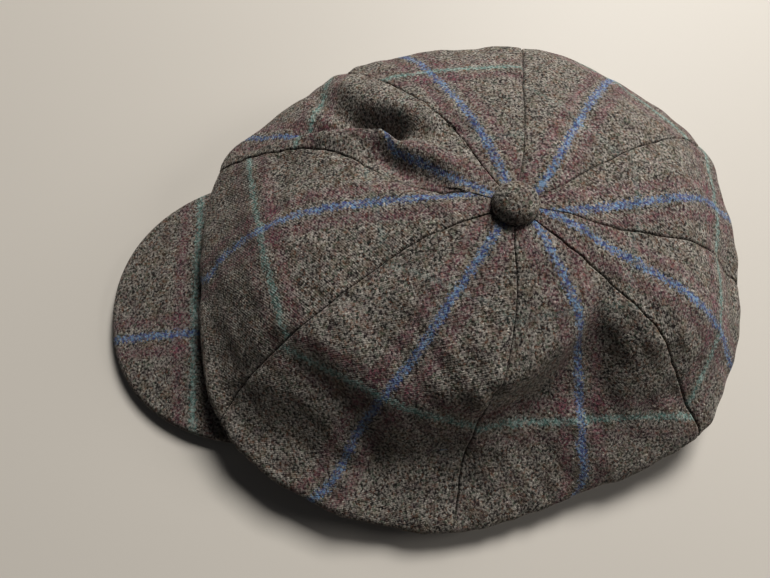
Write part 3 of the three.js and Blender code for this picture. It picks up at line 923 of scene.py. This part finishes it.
def pressed_board(name, dark, light):
    """Stiff board pressed from fibres that run one way."""
    n = Nodes(name)
    where = n.place()
    fibre = n.noise(n.stretched(where, (1, 0.3, 1)), 0.8, 4, 0.65)
    colour = n.mix(n.ramp(fibre, 0.3, 0.7), dark, light)
    colour = n.mix(n.ramp(n.noise(where, 3, 2), 0.6, 0.75, 0, 0.4), colour, dark)
    return n.finish(colour, n.ramp(fibre, 0.2, 0.8, 0.7, 0.92), fibre, 0.12, Specular_IOR_Level=0.3)


def drawn_steel(name):
    """Sheet steel with fine scratches and duller blots."""
    n = Nodes(name)
    where = n.place()
    scratch = n.noise(n.stretched(where, (1, 1, 6)), 1.0, 4, 0.6)
    blot = n.noise(where, 3.5, 2)
    colour = n.mix(n.ramp(blot, 0.35, 0.7), shade(176, 176, 174), shade(142, 140, 136))
    rough = n.ramp(scratch, 0.3, 0.75, 0.24, 0.48)
    return n.finish(colour, rough, scratch, 0.03, Metallic=1.0)


def thread(name, dark, light):
    """Twisted sewing thread."""
    n = Nodes(name)
    twist = n.noise(n.place(), 0.25, 2, 0.6)
    colour = n.mix(n.ramp(twist, 0.3, 0.7), dark, light)
    return n.finish(colour, 0.6, twist, 0.06, Sheen_Weight=0.2, Specular_IOR_Level=0.4)


# ---- Camera, light and floor, in metres --------------------------------------------------------

BUTTON = middle_of("button_cover")
CAMERA_FROM_BUTTON = Vector((0.1243, -0.0706, 0.236))
CAMERA_AZIMUTH = math.radians(85.6)
CAMERA_ELEVATION = math.radians(70)
LENS = 27.07

camera = bpy.data.objects.new("camera", bpy.data.cameras.new("camera"))
camera.data.lens = LENS
camera.data.sensor_width = 36
camera.data.clip_start = 0.01
camera.location = BUTTON + CAMERA_FROM_BUTTON
camera.rotation_euler = (math.pi / 2 - CAMERA_ELEVATION, 0, CAMERA_AZIMUTH)
bpy.context.collection.objects.link(camera)
bpy.context.scene.camera = camera


def area_light(name, place, size, watts, colour):
    light = bpy.data.lights.new(name, "AREA")
    light.shape = "RECTANGLE"
    light.size, light.size_y = size
    light.energy = watts
    light.color = colour
    lamp = bpy.data.objects.new(name, light)
    lamp.location = place
    lamp.rotation_euler = (-Vector(place)).to_track_quat("-Z", "Y").to_euler()
    bpy.context.collection.objects.link(lamp)


area_light("window", (-1.6, 0.95, 1.95), (1.0, 1.0), 76, (1.0, 0.99, 0.97))
area_light("side_window", (0.0, 2.6, 1.4), (1.0, 1.0), 18, (1.0, 0.98, 0.96))
area_light("room", (1.2, -0.9, 1.6), (2.0, 2.0), 0.5, (0.95, 0.97, 1.0))
world = bpy.data.worlds.new("world")
world.use_nodes = True
background = world.node_tree.nodes["Background"]
background.inputs["Color"].default_value = (0.9, 0.93, 1.0, 1)
background.inputs["Strength"].default_value = 0.03
bpy.context.scene.world = world
view = bpy.context.scene.view_settings
view.view_transform = "Standard"
view.look = "None"
view.gamma = 0.83
view.exposure = 0.24

FLOOR_HALF_SIDE = 3.0
FLOOR_BELOW_CAP = 0.0002
floor_mesh = bpy.data.meshes.new("floor")
signs = ((-1, -1), (1, -1), (1, 1), (-1, 1))
floor_corners = [(x * FLOOR_HALF_SIDE, y * FLOOR_HALF_SIDE, 0) for x, y in signs]
floor_mesh.from_pydata(floor_corners, [], [(0, 1, 2, 3)])
floor = bpy.data.objects.new("floor", floor_mesh)
floor.location.z = -FLOOR_BELOW_CAP
bpy.context.collection.objects.link(floor)
floor_look = Nodes("floor")
floor.data.materials.append(floor_look.finish(shade(206, 200, 191), 0.6))

# ---- Pieces ----------------------------------------------------------------------------------


def add_piece(thing, node, body, look):
    """A Blender piece that stands for a CAD node of the same part."""
    thing.data.materials.append(look)
    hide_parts(node)
    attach(thing, body)


for index, (name, check) in enumerate(PANEL_CHECK.items()):
    outside, inside, cut = crown_panel(index)
    panel = sheet_object(f"panel_{name}", outside, inside, cut)
    add_piece(panel, f"crown_panel_{name}", "cap", tweed(f"tweed_{name}", *check))

satin_lining = satin("satin_lining", shade(30, 23, 21), shade(64, 51, 46))
for index, name in enumerate(LINING_NAMES):
    outside, inside, cut = lining_gore(index)
    gore = sheet_object(f"lining_{name}", outside, inside, cut)
    add_piece(gore, f"lining_gore_{name}", "cap", satin_lining)

BAND_COLUMNS = 200
bands = {
    "headband": (BAND_OUTSET, BAND_THICKNESS, 0.0, BAND_HEIGHT, 0.25, "tweed"),
    "headband_interlining": (
        INTERLINING_OUTSET, INTERLINING_THICKNESS, INNER_LAYER_FLOOR, INNER_LAYER_TOP, 0.05, "canvas",
    ),
    "sweatband": (0.0, SWEATBAND_THICKNESS, INNER_LAYER_FLOOR, INNER_LAYER_TOP, 0.08, "sweatband_twill"),
}
band_looks = {
    "headband": tweed("tweed_band"),
    "headband_interlining": plain_cloth("canvas", shade(150, 138, 116), shade(206, 196, 174), 0.9),
    "sweatband": plain_cloth("sweatband_twill", shade(28, 22, 19), shade(66, 54, 46), 0.8, rib=(1.0, 1.0)),
}
for name, (inner, thickness, bottom, top, waviness, slot) in bands.items():
    rings, cut = band_rings(inner, thickness, bottom, top, BAND_COLUMNS, waviness, seed=len(name))
    band = ring_object(f"{name}_cloth", rings, cut)
    add_piece(band, name, "cap", band_looks[name])

SWEATBAND_STITCHES = 168
SWEATBAND_STITCH_HEIGHTS = (4.2, 23.6)
STITCH_INSET = 0.1
stitch_thread = thread("stitch_thread", shade(70, 58, 46), shade(128, 110, 88))
places, headings, ups = [], [], []
for height in SWEATBAND_STITCH_HEIGHTS:
    angle = np.linspace(0, 360, SWEATBAND_STITCHES, endpoint=False)
    ring = oval(-STITCH_INSET, angle, height)
    places += list(ring)
    headings += list(np.roll(ring, -1, 0) - np.roll(ring, 1, 0))
    ups += list(np.array([0, 0, height]) - ring)
stitches = stitch_mesh("sweatband_stitches", places, headings, ups)
stitches.data.materials.append(stitch_thread)
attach(stitches, "cap")

# depth 0.84 paints the peak's tweed darker all over: painted shade, not a darker cloth.
tweed_peak = tweed("tweed_peak", blue_at=17.0, teal_at=-132.5, depth=0.84)
for name, side in (("peak_upper_cover", 1), ("peak_under_cover", -1)):
    outside, inside, cut = peak_cover(side)
    if side < 0:
        outside, inside = inside, outside
    cover = sheet_object(f"{name}_cloth", outside, inside, cut)
    add_piece(cover, name, "peak", tweed_peak)

outside, inside, cut = button_cover_rings()
button = sheet_object("button_cloth", outside, inside, cut, closed=True)
add_piece(button, "button_cover", "button", tweed("tweed_button"))

MAKER_LABEL_THICKNESS = 0.5
MAKER_LABEL_DROP = LINING_THICKNESS / 2 + 1.2
MAKER_LABEL_PLACES = (3.1, 3.9)
MAKER_LABEL_SHARES = (0.26, 0.42)
MAKER_LABEL_ROWS = 241
TAPE_LABEL_THICKNESS = 0.4
SIZE_LABEL_INSET = 0.7
SIZE_LABEL_ANGLES = (80, 90)
SIZE_LABEL_HEIGHTS = (21, 9)
CARE_LABEL_X = 2.2 - HEAD_HALF_WIDTH
CARE_LABEL_SIDES = (12, -12)
CARE_LABEL_HEIGHTS = (25, 8)
CARE_LABEL_BULGE = 0.25


def maker_surface(down, across):
    """Under the lining, between two shares of the way from the button to the band."""
    grid = lining_grid(between(MAKER_LABEL_PLACES, across[0]), MAKER_LABEL_ROWS)
    normal = surface_normals(grid)
    row = np.round(between(MAKER_LABEL_SHARES, down[:, 0]) * (MAKER_LABEL_ROWS - 1)).astype(int)
    return (grid - normal * MAKER_LABEL_DROP)[row]


def size_surface(down, across):
    """Against the sweatband at the back."""
    return oval(-SIZE_LABEL_INSET, between(SIZE_LABEL_ANGLES, across), between(SIZE_LABEL_HEIGHTS, down))


def care_surface(down, across):
    """Hanging beside the sweatband on the wearer's right."""
    x = CARE_LABEL_X + CARE_LABEL_BULGE * np.sin(math.pi * down) + 0 * across
    return np.stack([x, between(CARE_LABEL_SIDES, across), between(CARE_LABEL_HEIGHTS, down)], -1)


label_dark = plain_cloth(
    "label_dark", shade(20, 17, 16), shade(52, 44, 40), 0.5, roughness=0.55, depth_mm=0.08
)
label_white = plain_cloth(
    "label_white", shade(190, 184, 170), shade(232, 228, 216), 0.4, roughness=0.65, depth_mm=0.06
)
labels = [
    ("maker_label", maker_surface, MAKER_LABEL_THICKNESS, "cap", "label_dark", label_dark),
    ("size_label", size_surface, TAPE_LABEL_THICKNESS, "cap", "label_white", label_white),
    ("care_label", care_surface, TAPE_LABEL_THICKNESS, "care_label", "label_white", label_white),
]
for name, surface, thickness, body, slot, look in labels:
    outside, inside, cut = label_patch(surface, thickness)
    label = sheet_object(f"{name}_cloth", outside, inside, cut)
    add_piece(label, name, body, look)

# The hard pieces inside keep their CAD shapes.
hard_looks = {
    "peak_board": pressed_board("peak_board_fibre", shade(112, 98, 78), shade(168, 154, 130)),
    "button_shell": drawn_steel("button_steel"),
    "button_washer": pressed_board("washer_fibre", shade(120, 106, 86), shade(176, 162, 138)),
}
hard_looks["button_back"] = hard_looks["button_shell"]
for name, look in hard_looks.items():
    for material_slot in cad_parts[name].material_slots:
        material_slot.material = look
